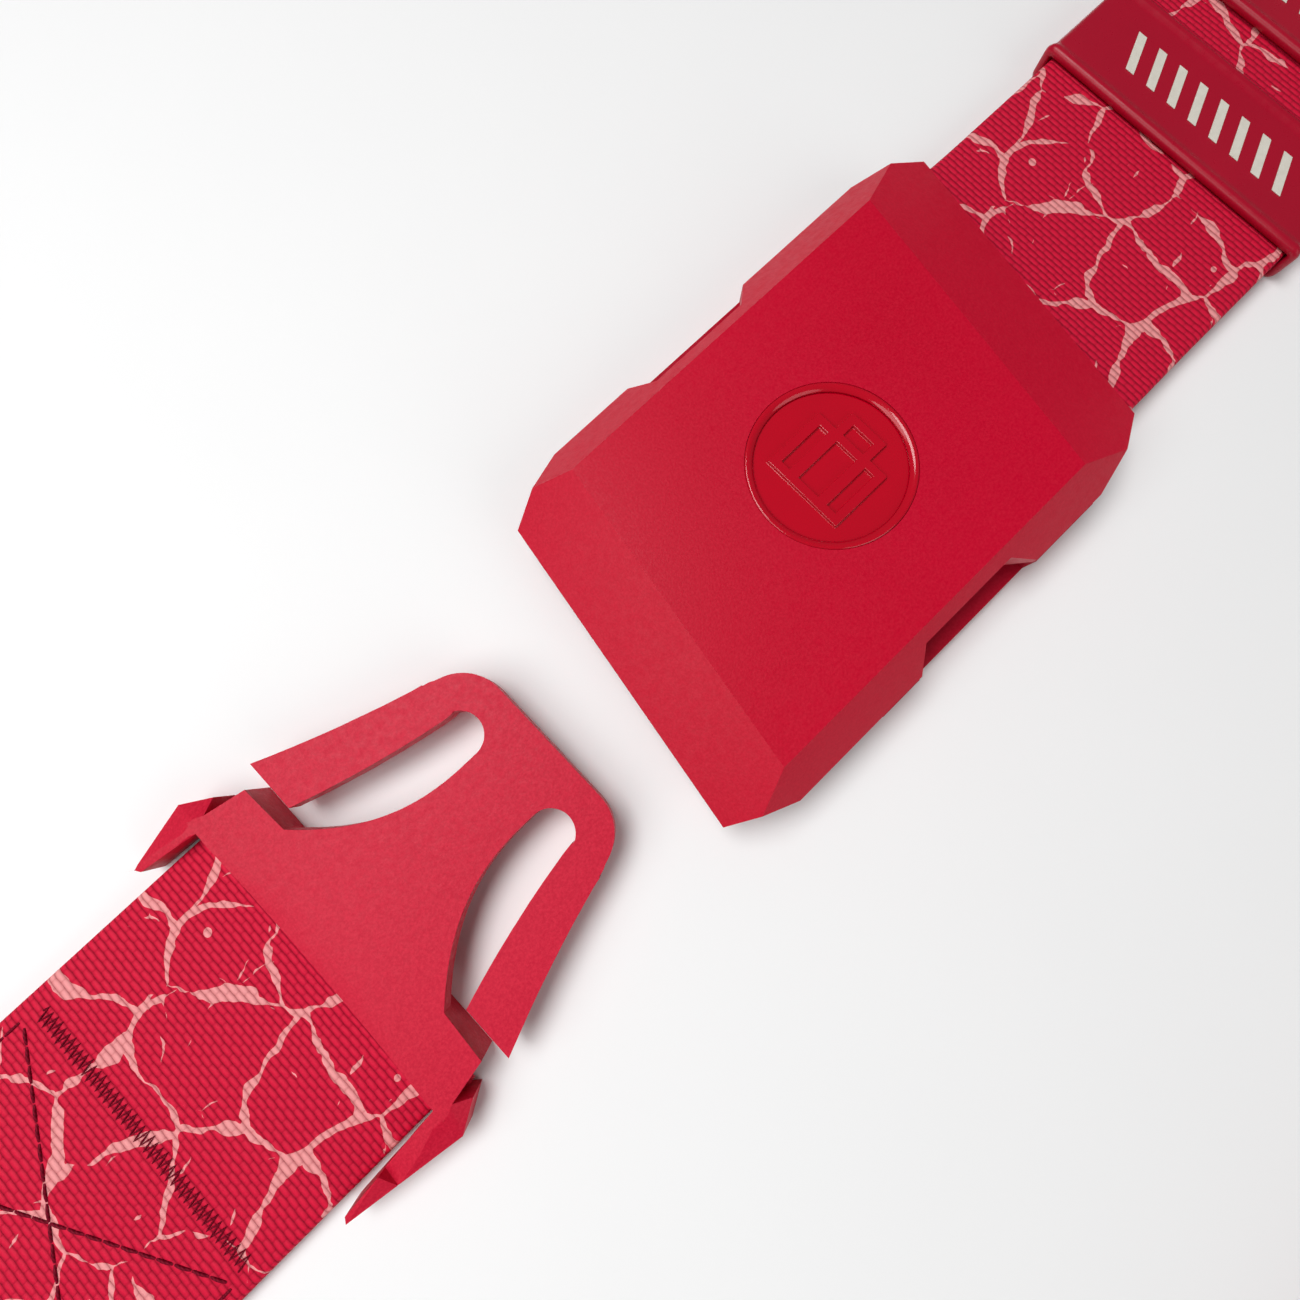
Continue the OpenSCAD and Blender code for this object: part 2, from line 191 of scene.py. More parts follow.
def brushed_steel(name):
    g = Graph(name)
    stretched = g.add("ShaderNodeMapping", in_Vector=place(g), in_Scale=(2400.0, 60.0, 2400.0)).outputs[0]
    lines = g.noise(stretched, 1.0, 2.0)
    g.set("Base Color", (0.62, 0.62, 0.64, 1.0))
    g.set("Metallic", 1.0)
    g.set("Roughness", g.ramp(lines, 0.3, 0.7, 0.28, 0.42))
    g.bump(lines, 0.1, 0.02 * MM)
    return g.material


def crackle(g, flat, cell, width, seed, keep):
    """Tapering, broken lines round cells of a warped pattern."""
    moved = g.vector("ADD", flat, (seed, seed * 0.7, 0.0))
    broad = g.vector("SUBTRACT", g.colour_noise(moved, 0.9 / cell), (0.5, 0.5, 0.5))
    rough = g.vector("SUBTRACT", g.colour_noise(moved, 4.5 / cell), (0.5, 0.5, 0.5))
    where = g.vector("ADD", moved, g.scaled(broad, cell * 0.75))
    where = g.vector("ADD", where, g.scaled(rough, cell * 0.12))
    edge = g.add("ShaderNodeTexVoronoi", voronoi_dimensions="2D", feature="DISTANCE_TO_EDGE",
                 in_Vector=where, in_Scale=1.0 / cell).outputs["Distance"]
    swell = g.noise(moved, 2.2 / cell, 2.0)
    reach = g.ramp(swell, keep, keep + 0.26, 0.0, width / cell)
    return g.math("LESS_THAN", edge, reach)


def webbing(name):
    """Ribbed tape: weft ribs across it, warp ends along it, painted shade in the hollows between them, and
    a pale crackle print.
    """
    g = Graph(name)
    uv = g.add("ShaderNodeUVMap", uv_map="tape").outputs[0]
    parts = g.add("ShaderNodeSeparateXYZ", in_0=uv)
    along, across = parts.outputs[0], parts.outputs[1]
    wobble = g.math("MULTIPLY", g.math("SUBTRACT", g.noise(uv, 260.0, 2.0), 0.5), 0.00028)
    rib_phase = g.math("MULTIPLY", g.math("ADD", along, wobble), math.pi / 0.00095)
    rib = g.math("ABSOLUTE", g.math("SINE", rib_phase))
    row = g.math("FLOOR", g.math("DIVIDE", rib_phase, math.pi))
    shifted = g.math("ADD", g.math("DIVIDE", across, 0.0019), g.math("MULTIPLY", row, 0.5))
    warp = g.math("ABSOLUTE", g.math("SINE", g.math("MULTIPLY", shifted, math.pi)))
    height = g.math("ADD", g.math("POWER", rib, 0.7), g.math("MULTIPLY", g.math("POWER", warp, 0.4), 0.55))
    fibre = g.add("ShaderNodeTexNoise", in_Scale=1.0, in_Detail=2.0)
    g.put(g.add("ShaderNodeMapping", in_Vector=uv, in_Scale=(9000.0, 2600.0, 1.0)).outputs[0],
          fibre.inputs["Vector"])
    height = g.math("ADD", height, g.math("MULTIPLY", fibre.outputs["Fac"], 0.28))
    raised = g.ramp(height, 0.45, 1.6)
    # Darker colour where the weave is low: painted shade in the hollows between the ribs, lighter on the
    # rib tops
    red = g.mix(raised, (0.30, 0.000, 0.016, 1.0), (0.68, 0.004, 0.040, 1.0))
    red = g.mix(g.math("MULTIPLY", g.noise(uv, 45.0), 0.3), red, (0.50, 0.002, 0.035, 1.0))
    lines = crackle(g, uv, 0.0135, 0.00095, 0.31, 0.36)
    twigs = crackle(g, uv, 0.0105, 0.00070, 1.77, 0.60)
    dots = g.add("ShaderNodeTexVoronoi", voronoi_dimensions="2D", in_Vector=uv, in_Scale=95.0)
    near = g.math("LESS_THAN", dots.outputs["Distance"], g.ramp(g.noise(uv, 60.0), 0.58, 0.68, 0.0, 0.08))
    print_mask = g.math("MAXIMUM", g.math("MAXIMUM", lines, twigs), near)
    # The print is also painted darker in the hollows, as shade
    ink = g.mix(raised, (0.62, 0.16, 0.17, 1.0), (0.85, 0.33, 0.33, 1.0))
    g.set("Base Color", g.mix(g.math("MULTIPLY", print_mask, 0.94), red, ink))
    g.set("Roughness", g.ramp(raised, 0.0, 1.0, 0.85, 0.62))
    g.set("Specular IOR Level", 0.2)
    g.bump(height, 0.9, 0.24 * MM)
    return g.material


def twisted_thread(name, colour):
    g = Graph(name)
    at = place(g)
    twist = g.add("ShaderNodeTexWave", in_Vector=at, in_Scale=900.0, in_Distortion=2.0).outputs["Fac"]
    # Darker bands in the twist's grooves: painted shade between the plies
    g.set("Base Color", g.mix(twist, tuple(c * 0.6 for c in colour[:3]) + (1.0,), colour))
    g.set("Roughness", g.ramp(twist, 0.0, 1.0, 0.7, 0.5))
    g.set("Specular IOR Level", 0.1)
    g.bump(twist, 0.4, 0.08 * MM)
    return g.material


def printed_mark(name):
    g = Graph(name)
    worn = g.noise(place(g), 900.0, 3.0)
    g.set("Base Color", g.mix(worn, (0.62, 0.58, 0.50, 1.0), (0.74, 0.71, 0.63, 1.0)))
    g.set("Roughness", g.ramp(worn, 0.3, 0.7, 0.5, 0.65))
    g.bump(worn, 0.1, 0.03 * MM)
    return g.material


def floor_paper(name):
    g = Graph(name)
    fibres = g.noise(place(g), 30.0, 2.0)
    g.set("Base Color", g.mix(fibres, (0.87, 0.87, 0.87, 1.0), (0.885, 0.885, 0.885, 1.0)))
    g.set("Roughness", 0.9)
    return g.material


MATERIALS = {
    "housing": grained_plastic("housing_red", (0.51, 0.000, 0.022, 1), (0.47, 0.000, 0.018, 1), 0.40),
    "base": grained_plastic("base_red", (0.42, 0.000, 0.018, 1), (0.36, 0.000, 0.014, 1), 0.42),
    "tongue": grained_plastic("tongue_red", (0.53, 0.004, 0.030, 1), (0.49, 0.002, 0.025, 1),
                              0.44, 0.4, 0.6),
    "badge": polished_plastic("badge_red", (0.52, 0.000, 0.014, 1)),
    "rubber": rubber("keeper_rubber", (0.42, 0.002, 0.022, 1)),
    "steel": brushed_steel("bar_steel"),
    "webbing": webbing("webbing_red"),
    "thread": twisted_thread("thread", (0.20, 0.001, 0.016, 1)),
    "mark": printed_mark("printed_mark"),
    "floor": floor_paper("floor_paper"),
}


# ---------- mesh helpers ----------

def piece(name, mesh_or_bm, material, body, smooth=True):
    if isinstance(mesh_or_bm, bmesh.types.BMesh):
        bmesh.ops.recalc_face_normals(mesh_or_bm, faces=mesh_or_bm.faces)
        mesh = bpy.data.meshes.new(name)
        mesh_or_bm.to_mesh(mesh)
        mesh_or_bm.free()
    else:
        mesh = mesh_or_bm
    obj = bpy.data.objects.new(name, mesh)
    bpy.context.scene.collection.objects.link(obj)
    mesh.materials.clear()
    mesh.materials.append(MATERIALS[material])
    if smooth:
        for polygon in mesh.polygons:
            polygon.use_smooth = True
    if body:
        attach(obj, body)
    return obj


def softened(node, name, material, body, radius, segments=3):
    """The CAD shape with its edges rounded, as moulding leaves them."""
    bm = bmesh.new()
    bm.from_mesh(nodes[node].data)
    bmesh.ops.remove_doubles(bm, verts=bm.verts, dist=0.03 * MM)
    bmesh.ops.dissolve_limit(bm, angle_limit=math.radians(1.2), verts=bm.verts, edges=bm.edges)
    obj = piece(name, bm, material, body)
    round_edges(obj, radius, segments)
    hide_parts(node)
    return obj


def round_edges(obj, radius, segments):
    bevel = obj.modifiers.new("round", "BEVEL")
    bevel.width = radius
    bevel.segments = segments
    bevel.limit_method = "ANGLE"
    bevel.angle_limit = math.radians(14)
    bevel.use_clamp_overlap = True
    bevel.harden_normals = True
    normals = obj.modifiers.new("shade", "WEIGHTED_NORMAL")
    normals.keep_sharp = True


def merged(names):
    """One mesh of several CAD nodes, joined with a boolean union."""
    first = bpy.data.objects.new("merge", nodes[names[0]].data.copy())
    bpy.context.scene.collection.objects.link(first)
    others = []
    for name in names[1:]:
        other = bpy.data.objects.new("merge_" + name, nodes[name].data.copy())
        bpy.context.scene.collection.objects.link(other)
        grow(other.data, 0.09 * MM)
        union = first.modifiers.new(name, "BOOLEAN")
        union.operation = "UNION"
        union.solver = "EXACT"
        union.object = other
        others.append(other)
    bpy.context.view_layer.update()
    mesh = bpy.data.meshes.new_from_object(first.evaluated_get(bpy.context.evaluated_depsgraph_get()))
    for obj in [first] + others:
        bpy.data.objects.remove(obj)
    return mesh


def grow(mesh, amount):
    """Moves upright walls outwards a little, so that a running gap closes."""
    bm = bmesh.new()
    bm.from_mesh(mesh)
    bmesh.ops.remove_doubles(bm, verts=bm.verts, dist=0.004 * MM)
    bm.normal_update()
    moves = []
    for vert in bm.verts:
        out = Vector((0, 0, 0))
        for face in vert.link_faces:
            if abs(face.normal.z) < 0.5:
                out += Vector((face.normal.x, face.normal.y, 0))
        moves.append((vert, out.normalized() * amount if out.length else out))
    for vert, move in moves:
        if vert.co.x > PIVOT.x - 0.6 * MM:
            vert.co += move
    bm.to_mesh(mesh)
    bm.free()


def moulded_tongue():
    """The plug half as one moulding, cut into its plate and two arms where the arms leave the nose; the
    real arms bend there.
    """
    whole = merged(["tongue", "arm_left", "arm_right"])
    bm = bmesh.new()
    bm.from_mesh(whole)
    bmesh.ops.remove_doubles(bm, verts=bm.verts, dist=0.03 * MM)
    bmesh.ops.dissolve_limit(bm, angle_limit=math.radians(1.2), verts=bm.verts, edges=bm.edges)
    bm.to_mesh(whole)
    bm.free()
    shaped = bpy.data.objects.new("shaped", whole)
    bpy.context.scene.collection.objects.link(shaped)
    round_edges(shaped, 0.3 * MM, 3)
    bpy.context.view_layer.update()
    whole = bpy.data.meshes.new_from_object(shaped.evaluated_get(bpy.context.evaluated_depsgraph_get()))
    bpy.data.objects.remove(shaped)
    cut_x = PIVOT.x + 0.4 * MM
    for name, body, side in (("tongue_body", "tongue", 0), ("tongue_arm_left", "arm_left", 1),
                             ("tongue_arm_right", "arm_right", -1)):
        bm = bmesh.new()
        bm.from_mesh(whole)
        bmesh.ops.bisect_plane(bm, geom=bm.verts[:] + bm.edges[:] + bm.faces[:], plane_co=(cut_x, 0, 0),
                               plane_no=(1, 0, 0))
        drop = [v for v in bm.verts if in_arm(v.co, cut_x) != side]
        keep_edge = {v for f in bm.faces if face_side(f, cut_x) == side for v in f.verts}
        bmesh.ops.delete(bm, geom=[v for v in drop if v not in keep_edge], context="VERTS")
        stray = [f for f in bm.faces if face_side(f, cut_x) != side]
        bmesh.ops.delete(bm, geom=stray, context="FACES")
        obj = piece(name, bm, "tongue", None if side else body)
        normals = obj.modifiers.new("shade", "WEIGHTED_NORMAL")
        normals.weight = 80
        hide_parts(body)
        if side:
            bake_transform(obj)


def in_arm(at, cut_x):
    """Which arm a point is in: 1 or -1, or 0 for the plate."""
    if at.x > cut_x or at.x < PIVOT.x - ARM_REACH:
        return 0
    back = ARM_ROOT_U - (at.x - TONGUE_X) / MM
    inner = ARM_ROOT_Y + ARM_SPREAD * back + ARM_CURVE * back ** 2
    if abs(at.y) / MM > inner - ARM_MARGIN:
        return 1 if at.y > 0 else -1
    return 0


def face_side(face, cut_x):
    return in_arm(face.calc_center_median(), cut_x)


def lathe(profile, centre, steps=128):
    """Turns (radius, height) points about a vertical line through centre."""
    bm = bmesh.new()
    rings = []
    for r, z in profile:
        ring = []
        for i in range(steps):
            angle = 2 * math.pi * i / steps
            ring.append(bm.verts.new(centre + Vector((r * math.cos(angle), r * math.sin(angle), z))))
        rings.append(ring)
    for a, b in zip(rings, rings[1:] + rings[:1]):
        for i in range(steps):
            j = (i + 1) % steps
            bm.faces.new((a[i], a[j], b[j], b[i]))
    return bm


# ---------- webbing ----------

# Where the points lie across the tape, and how thick it is there: full, with round edges
ACROSS = [(0.0, 0.0), (0.003, 0.55), (0.009, 0.88), (0.018, 1.0)]
ACROSS += [(0.018 + 0.964 * i / 10, 1.0) for i in range(1, 10)]
ACROSS += [(0.982, 1.0), (0.991, 0.88), (0.997, 0.55), (1.0, 0.0)]


def straight_rows(points, y, start):
    """Rows across the tape for side-view points (x, z); returns the rows and the length so far."""
    rows = []
    s = start
    for i, (x, z) in enumerate(points):
        if i:
            s += math.hypot(x - points[i - 1][0], z - points[i - 1][1])
        rows.append((Vector((x, y + HALF_W, z)), Vector((x, y - HALF_W, z)), s, s))
    return rows, s


def arc(centre, radius, start, end, count):
    """Side-view points on an arc; angles in degrees from +X towards +Z."""
    points = []
    for i in range(count + 1):
        angle = math.radians(start + (end - start) * i / count)
        points.append((centre[0] + radius * math.cos(angle), centre[1] + radius * math.sin(angle)))
    return points


def crease_rows(left, right, outward, z_from, z_to, s_left, s_right):
    """A fold on the line from left to right: a half turn from one level to the next."""
    radius = abs(z_to - z_from) / 2
    sign = 1 if z_to > z_from else -1
    rows = []
    count = 8
    for i in range(count + 1):
        angle = math.pi * i / count
        out = outward.normalized() * (radius * math.sin(angle))
        z = z_from + sign * radius * (1 - math.cos(angle))
        extra = radius * angle
        rows.append((Vector((left[0], left[1], z)) + out, Vector((right[0], right[1], z)) + out,
                     s_left + extra, s_right + extra))
    return rows


def ease(a, b, count):
    """Side-view points of a smooth ramp between two heights."""
    points = []
    for i in range(count + 1):
        t = i / count
        points.append((a[0] + (b[0] - a[0]) * t, a[1] + (b[1] - a[1]) * (3 * t * t - 2 * t ** 3)))
    return points


def tape(name, rows, body, replaced):
    """A closed strip of webbing through rows of (left, right, length at left, length at right)."""
    bm = bmesh.new()
    uv_layer = bm.loops.layers.uv.new("tape")
    sheets = {1: [], -1: []}
    coords = {}
    count = len(rows)
    for i, (left, right, s_left, s_right) in enumerate(rows):
        before = rows[max(i - 1, 0)]
        after = rows[min(i + 1, count - 1)]
        along = (after[0] + after[1]) - (before[0] + before[1])
        side = right - left
        normal = along.cross(side).normalized()
        for face in (1, -1):
            line = []
            for fraction, full in ACROSS:
                if full == 0.0 and face == -1:
                    line.append(sheets[1][i][len(line)])
                    continue
                at = left.lerp(right, fraction) + normal * (-face * full * WEB_T / 2)
                vert = bm.verts.new(at)
                coords[vert] = (s_left + (s_right - s_left) * fraction, fraction * 2 * HALF_W)
                line.append(vert)
            sheets[face].append(line)
    for face in (1, -1):
        for a, b in zip(sheets[face], sheets[face][1:]):
            for j in range(len(ACROSS) - 1):
                corners = [a[j], a[j + 1], b[j + 1], b[j]]
                bm.faces.new(corners if face == 1 else corners[::-1])
    for end in (0, -1):
        for j in range(len(ACROSS) - 1):
            ring = [sheets[1][end][j], sheets[1][end][j + 1], sheets[-1][end][j + 1], sheets[-1][end][j]]
            ring = list(dict.fromkeys(ring))
            bm.faces.new(ring)
    for face in bm.faces:
        for loop in face.loops:
            loop[uv_layer].uv = coords[loop.vert]
    obj = piece(name, bm, "webbing", body)
    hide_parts(*replaced)
    length = (rows[-1][2] + rows[-1][3]) / 2
    return obj, length


def corner_run(x, outer, z_from_main, start_left, start_right):
    """The run across the layout with its two folds, from the buckle's line to the return's line."""
    left_x = x - outer * HALF_W
    right_x = x + outer * HALF_W
    first = crease_rows((left_x, HALF_W), (right_x, -HALF_W), Vector((outer, 1, 0)), z_from_main, level(0),
                        start_left, start_right)
    s_left, s_right = first[-1][2], first[-1][3]
    inner_len = HALF_W - (RETURN_Y - HALF_W)
    outer_len = -HALF_W - (RETURN_Y + HALF_W)
    second = crease_rows((left_x, RETURN_Y - HALF_W), (right_x, RETURN_Y + HALF_W), Vector((outer, -1, 0)),
                         level(0), level(1), s_left + inner_len, s_right + outer_len)
    return first + second


def return_rows(points, start_left, start_right):
    """Rows of the return; here the left edge is the one further from the buckle."""
    rows = []
    s = 0.0
    for i, (x, z) in enumerate(points):
        if i:
            s += math.hypot(x - points[i - 1][0], z - points[i - 1][1])
        rows.append((Vector((x, RETURN_Y - HALF_W, z)), Vector((x, RETURN_Y + HALF_W, z)),
                     start_left + s, start_right + s))
    return rows


def hank_points(start_x, far_x, bottom):
    """Side view of spare tape folded to and fro in six layers."""
    pitch = 1.5 * MM
    radius = pitch / 2
    near, far = start_x - 0.2 * MM - radius - WEB_T / 2, far_x + radius + WEB_T / 2
    points = [(near, bottom)]
    z = bottom
    for layer in range(6):
        at, to = (near, far) if layer % 2 == 0 else (far, near)
        points += [(at + (to - at) * i / 6, z) for i in range(1, 7)]
        if layer < 5:
            turn = (90, 270) if to == far else (-90, -270)
            centre = (to, z + radius)
            angles = (-90, -270) if to == far else (-90, 90)
            points += arc(centre, radius, angles[0], angles[1], 8)[1:]
            z += pitch
    return points


def housing_webbing():
    bar_low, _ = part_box("adjuster_bar")
    bar_x = bar_low.x + 1.8 * MM
    bar_z = bar_low.z + 1.8 * MM
    wrap = 1.8 * MM + WEB_T / 2 + 0.03 * MM
    tail = ease((TAIL_END, level(2)), (62 * MM, level(2)), 12)
    tail += ease((60 * MM, level(2)), (43 * MM, 4.75 * MM), 8)
    tail += ease((41 * MM, 4.95 * MM), (31 * MM, 6.2 * MM), 8)
    tail += ease((30 * MM, 6.35 * MM), (bar_x + 0.8 * MM, bar_z + wrap + 0.05 * MM), 5)
    turn = arc((bar_x, bar_z), wrap, 90, 270, 20)
    main = ease((bar_x + 2 * MM, bar_z - wrap), (44 * MM, bar_z - wrap), 4)
    main += ease((45 * MM, bar_z - wrap), (58 * MM, level(1)), 6)
    main += ease((60 * MM, level(1)), (RIGHT_X - HALF_W - 4 * MM, level(1)), 12)
    rows, s = straight_rows(tail + turn + main, 0.0, 0.0)
    last_x = main[-1][0]
    rows += corner_run(RIGHT_X, 1, level(1), s + RIGHT_X - HALF_W - last_x, s + RIGHT_X + HALF_W - last_x)
    hank_low, hank_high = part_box("webbing_hank")
    bottom = hank_low.z + WEB_T / 2
    first_x = RIGHT_X - HALF_W - 4 * MM
    back = ease((first_x, level(1)), (first_x - 10 * MM, level(0) + 0.1 * MM), 6)
    back += ease((first_x - 11 * MM, level(0) + 0.1 * MM), (hank_high.x + 12 * MM, level(0) + 0.1 * MM), 6)
    back += ease((hank_high.x + 11 * MM, level(0) + 0.1 * MM), (hank_high.x + 0.5 * MM, bottom), 5)
    back += hank_points(hank_high.x, hank_low.x, bottom)
    s_left, s_right = rows[-1][2], rows[-1][3]
    rows += return_rows(back, s_left + 4 * MM, s_right + 4 * MM + 2 * HALF_W)
    obj, length = tape("webbing_adjusting_side", rows, "housing",
                       ["webbing_tail", "webbing_housing_run", "webbing_right_run", "webbing_return_run",
                        "webbing_hank"])
    return obj, length


def tongue_webbing():
    cross_x = TONGUE_X + 3.8 * MM
    cross_r = 0.9 * MM
    cross_z = WEB_T + cross_r + 0.1 * MM
    wrap = cross_r + WEB_T / 2 + 0.04 * MM
    flap = ease((TONGUE_X - 64.5 * MM, level(0)), (TONGUE_X - 3 * MM, level(0)), 10)
    flap.append((TONGUE_X + 0.5 * MM, level(0) + 0.02 * MM))
    turn = arc((cross_x, cross_z), wrap, -90, 90, 20)
    over = ease((cross_x - 1.0 * MM, cross_z + wrap), (TONGUE_X - 2.5 * MM, level(1)), 12)
    over += ease((TONGUE_X - 4 * MM, level(1)), (LEFT_X + HALF_W + 4 * MM, level(1)), 10)
    rows, s = straight_rows(flap + turn + over, 0.0, 0.0)
    last_x = over[-1][0]
    rows += corner_run(LEFT_X, -1, level(1), s + last_x - (LEFT_X + HALF_W), s + last_x - (LEFT_X - HALF_W))
    start_x = LEFT_X + HALF_W + 3 * MM
    _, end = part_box("webbing_left_return")
    back = ease((start_x, level(1)), (start_x + 9 * MM, level(0)), 6)
    back += ease((start_x + 11 * MM, level(0)), (end.x, level(0)), 10)
    s_left, s_right = rows[-1][2], rows[-1][3]
    rows += return_rows(back, s_left + 3 * MM, s_right + 3 * MM + 2 * HALF_W)
    return tape("webbing_fixed_side", rows, "tongue",
                ["webbing_sewn_flap", "webbing_tongue_run", "webbing_left_run", "webbing_left_return"])


# ---------- stitching ----------

def thread(name, strands, radius, replaced):
    """Sewn thread: one curve object with a spline for each strand."""
    curve = bpy.data.curves.new(name, "CURVE")
    curve.dimensions = "3D"
    curve.bevel_depth = radius
    curve.bevel_resolution = 2
    curve.use_fill_caps = True
    for strand in strands:
        spline = curve.splines.new("POLY")
        spline.points.add(len(strand) - 1)
        for point, at in zip(spline.points, strand):
            point.co = (at[0], at[1], at[2], 1.0)
    curve.materials.append(MATERIALS["thread"])
    obj = bpy.data.objects.new(name, curve)
    bpy.context.scene.collection.objects.link(obj)
    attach(obj, "tongue")
    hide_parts(replaced)
    return obj


TOP = level(1) + WEB_T / 2


def zigzag():
    """A satin zigzag seam across the tape."""
    x = TONGUE_X - 32.2 * MM
    half = 22 * MM
    pitch = 0.48 * MM
    count = int(2 * half / pitch)
    points = []
    for i in range(count + 1):
        side = 1 if i % 2 else -1
        y = -half + i * pitch
        drift = 0.12 * MM * math.sin(i * 0.9)
        points.append((x + side * 1.15 * MM + drift, y, TOP + 0.02 * MM))
        points.append((x + side * 0.3 * MM + drift, y + pitch * 0.4, TOP + 0.16 * MM))
    return thread("zigzag_seam", [points], 0.14 * MM, "zigzag_stitching")


def stitch_run(a, b, pitch=2.5 * MM):
    """Lockstitches from a to b, each a short bow that dips at its ends."""
    a, b = Vector(a), Vector(b)
    count = max(2, int((b - a).length / pitch))
    step = (b - a) / count
    strands = []
    for i in range(count):
        start = a + step * (i + 0.06)
        strand = []
        for k in range(7):
            t = k / 6
            rise = 0.20 * MM * math.sin(math.pi * t) - 0.10 * MM
            at = start + step * (0.88 * t)
            strand.append((at.x, at.y, TOP + rise))
        strands.append(strand)
    return strands


def box_seam():
    """The sewn cross and box that hold the folded-back end."""
    near = TONGUE_X - 35.2 * MM
    back = TONGUE_X - 60 * MM
    half = 22 * MM
    strands = []
    for side in (1, -1):
        strands += stitch_run((near, side * half, 0), (back, -side * half, 0))
        strands += stitch_run((near, side * (half + 0.9 * MM), 0), (back, side * (half + 0.9 * MM), 0))
    strands += stitch_run((back - 1.2 * MM, -half, 0), (back - 1.2 * MM, half, 0))
    return thread("box_seam", strands, 0.21 * MM, "box_stitching")


# ---------- keepers ----------

def keeper(node, stripes):
    """A moulded rubber band with rolled rims and a row of pale stripes."""
    low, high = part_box(node)
    wall = 1.1 * MM
    inner_y = high.y - wall
    z_low, z_high = low.z + wall, high.z - wall
    profile = [(0.0, 0.15), (0.1, 0.75), (0.35, 1.12), (0.9, 1.25), (1.5, 1.12), (2.0, 0.86), (2.6, 0.8)]
    outer = [(low.x + t * MM, k * wall) for t, k in profile]
    outer += [(high.x - t * MM, k * wall) for t, k in reversed(profile)]
    inner = [(high.x - 0.25 * MM, 0.0), (low.x + 0.25 * MM, 0.0)]
    bm = bmesh.new()
    loops = []
    for x, out in outer + inner:
        loops.append(band_loop(bm, x, inner_y, z_low, z_high, min(out, wall * 1.25), low.z))
    for a, b in zip(loops, loops[1:] + loops[:1]):
        for i in range(len(a)):
            j = (i + 1) % len(a)
            bm.faces.new((a[i], a[j], b[j], b[i]))
    band = piece(node + "_band", bm, "rubber", node)
    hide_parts(node)
    raised_marks(node, (low.x + high.x) / 2, high.z - 0.22 * MM, stripes)
    return band


def band_loop(bm, x, half, z_low, z_high, out, floor):
    """One closed loop round the strap at x, standing out by a wall of the given thickness."""
    radius = 0.25 * MM + out
    loop = []
    corners = [(half - 0.25 * MM, z_high - 0.25 * MM, 0), (-half + 0.25 * MM, z_high - 0.25 * MM, 90),
               (-half + 0.25 * MM, z_low + 0.25 * MM, 180), (half - 0.25 * MM, z_low + 0.25 * MM, 270)]
    for y, z, start in corners:
        for i in range(7):
            angle = math.radians(start + 15 * i)
            at_z = max(z + radius * math.sin(angle), floor)
            loop.append(bm.verts.new((x, y + radius * math.cos(angle), at_z)))
        if start in (0, 180):
            direction = -1 if start == 0 else 1
            top = z + radius if start == 0 else max(z - radius, floor)
            for i in range(1, 12):
                loop.append(bm.verts.new((x, y + direction * 2 * (half - 0.25 * MM) * i / 12, top)))
    return loop


def raised_marks(node, x, z, count):
    """A row of plain slanted stripes in pale ink across the band."""
    bm = bmesh.new()
    tall, wide, lean, pitch = 3.5 * MM, 1.7 * MM, 1.5 * MM, 4.4 * MM
    for i in range(count):
        y = (i - (count - 1) / 2) * pitch
        outline = [(x - tall, y - wide / 2 - lean), (x + tall, y - wide / 2 + lean),
                   (x + tall, y + wide / 2 + lean), (x - tall, y + wide / 2 - lean)]
        raised_shape(bm, outline, z, 0.16 * MM)
    obj = piece(node + "_marks", bm, "mark", node, smooth=False)
    bevel = obj.modifiers.new("round", "BEVEL")
    bevel.width = 0.06 * MM
    bevel.segments = 2
    return obj


def raised_shape(bm, outline, z, depth):
    low = [bm.verts.new((x, y, z)) for x, y in outline]
    top = [bm.verts.new((x, y, z + depth)) for x, y in outline]
    bm.faces.new(top)
    bm.faces.new(low[::-1])
    for i in range(len(outline)):
        j = (i + 1) % len(outline)
        bm.faces.new((low[i], low[j], top[j], top[i]))


# ---------- badge ----------

def badge_ring():
    """The polished bevel round the sunk badge."""
    z = COVER_TOP
    profile = [(BADGE_R - 1.25 * MM, z - 0.55 * MM), (BADGE_R - 1.15 * MM, z - 0.38 * MM),
               (BADGE_R - 0.75 * MM, z - 0.1 * MM), (BADGE_R - 0.35 * MM, z + 0.03 * MM),
               (BADGE_R - 0.02 * MM, z + 0.0 * MM), (BADGE_R - 0.02 * MM, z - 0.55 * MM)]
    return piece("badge_rim", lathe(profile, Vector((0, 0, 0))), "badge", "housing")


# ---------- hank tie ----------

def hank_tie():
    return softened("hank_tie", "hank_tie_band", "rubber", "housing", 0.5 * MM, 4)


# ---------- floor, light and camera ----------

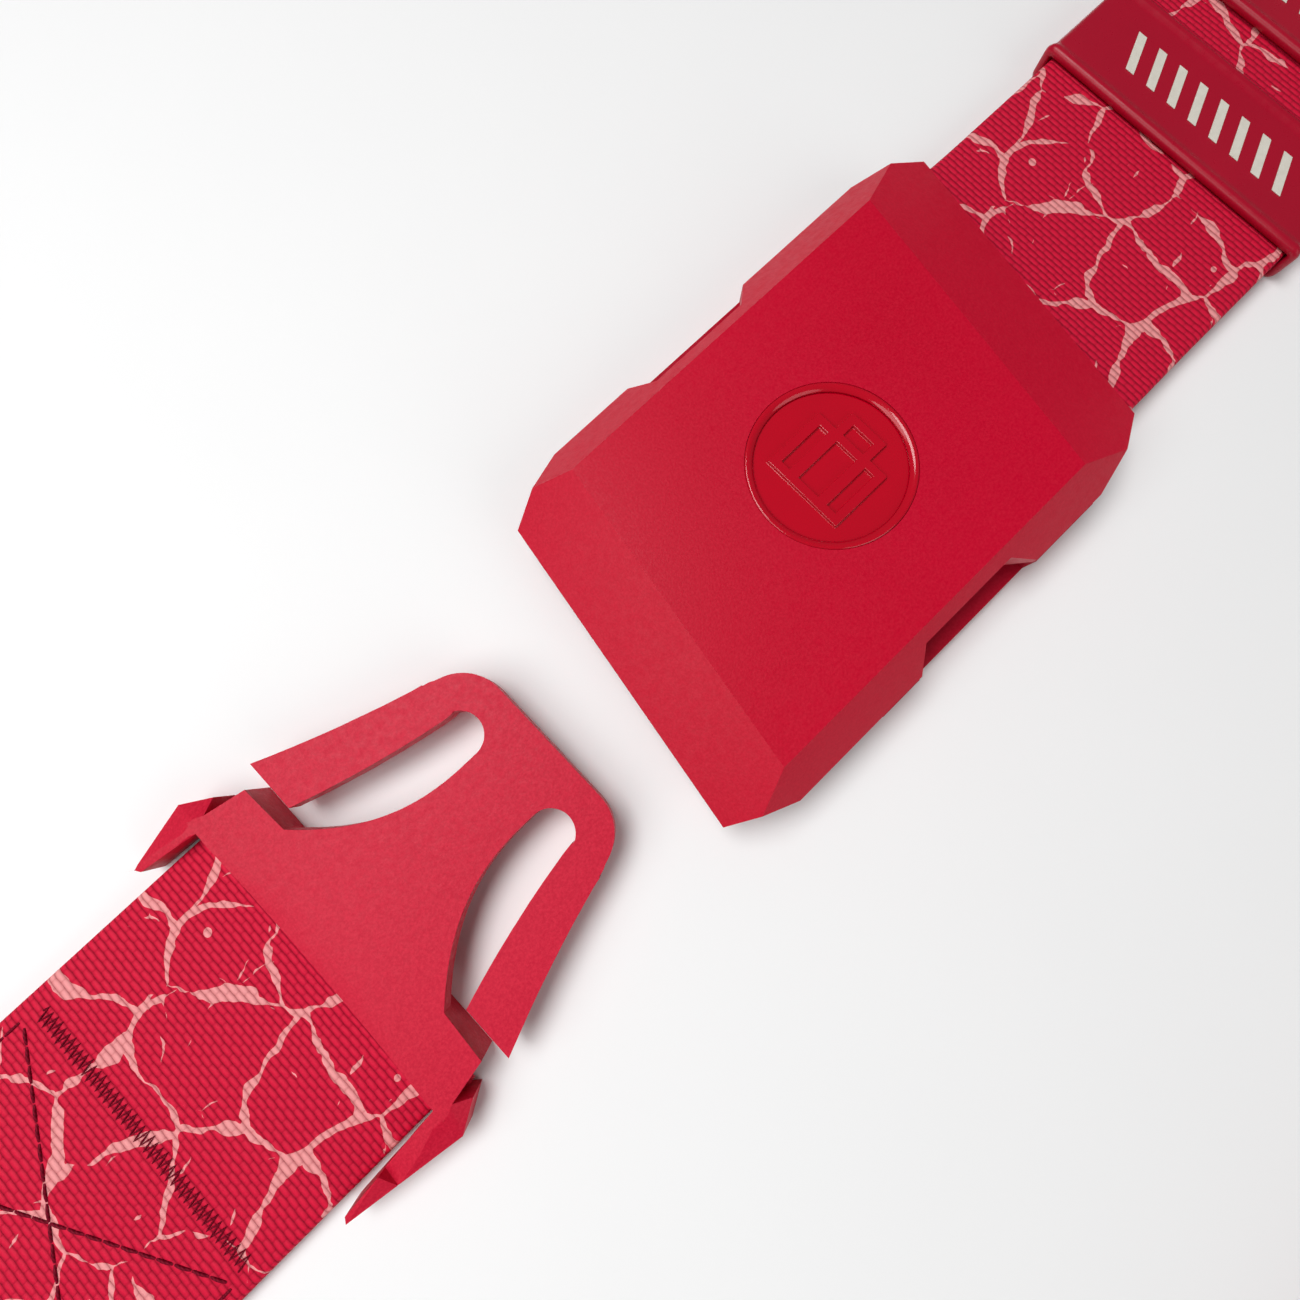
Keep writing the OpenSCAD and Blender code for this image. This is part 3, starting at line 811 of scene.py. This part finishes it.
def studio():
    bm = bmesh.new()
    bmesh.ops.create_grid(bm, x_segments=8, y_segments=8, size=3.0)
    mesh = bpy.data.meshes.new("floor")
    bm.to_mesh(mesh)
    bm.free()
    floor = bpy.data.objects.new("floor", mesh)
    floor.location.z = -0.05 * MM
    bpy.context.scene.collection.objects.link(floor)
    mesh.materials.append(MATERIALS["floor"])
    world = bpy.data.worlds.new("studio")
    bpy.context.scene.world = world
    world.use_nodes = True
    world.node_tree.nodes["Background"].inputs[0].default_value = (1.0, 1.0, 1.0, 1.0)
    world.node_tree.nodes["Background"].inputs[1].default_value = 0.15
    lamp("key", Vector((-0.12, 0.34, 0.88)), 0.5, 5.4)
    lamp("fill", Vector((0.10, -0.90, 0.55)), 0.8, 2.2)
    lamp("near", Vector((-0.26, 0.08, 0.30)), 0.3, 0.62)
    bpy.context.scene.view_settings.view_transform = "Standard"


def lamp(name, at, size, power):
    data = bpy.data.lights.new(name, "AREA")
    data.shape = "DISK"
    data.size = size
    data.energy = power
    obj = bpy.data.objects.new(name, data)
    obj.location = at
    obj.rotation_euler = (-at).to_track_quat("-Z", "Y").to_euler()
    bpy.context.scene.collection.objects.link(obj)


def camera():
    data = bpy.data.cameras.new("camera")
    data.sensor_width = 36.0
    data.lens = 36.0 * 700 / 1300
    data.clip_start = 0.005
    obj = bpy.data.objects.new("camera", data)
    forward = Vector((0.1013, 0.0966, -0.9902)).normalized()
    up = Vector((0.6876, 0.7125, 0.1398))
    right = forward.cross(up).normalized()
    up = right.cross(forward)
    turn = Matrix((right, up, -forward)).transposed().to_4x4()
    obj.matrix_world = Matrix.Translation(Vector((-45.8, -10.2, 106.1)) * MM) @ turn
    bpy.context.scene.collection.objects.link(obj)
    bpy.context.scene.camera = obj


# ---------- everything ----------

camera()
softened("housing_cover", "housing_shell", "housing", "housing", 0.5 * MM, 4)
softened("housing_base", "housing_floor", "base", "housing", 0.3 * MM)
softened("badge_disc", "badge_face", "badge", "housing", 0.14 * MM)
badge_ring()
moulded_tongue()
softened("adjuster_bar", "adjuster_rod", "steel", "housing", 0.2 * MM)
softened("friction_bar", "friction_rod", "steel", "housing", 0.2 * MM)
long_side, long_length = housing_webbing()
short_side, short_length = tongue_webbing()
seams = [zigzag(), box_seam()]
keeper("keeper_front", 8)
keeper("keeper_rear", 6)
hank_tie()
studio()

bpy.context.view_layer.update()
print("webbing lengths", round(long_length, 3), round(short_length, 3))
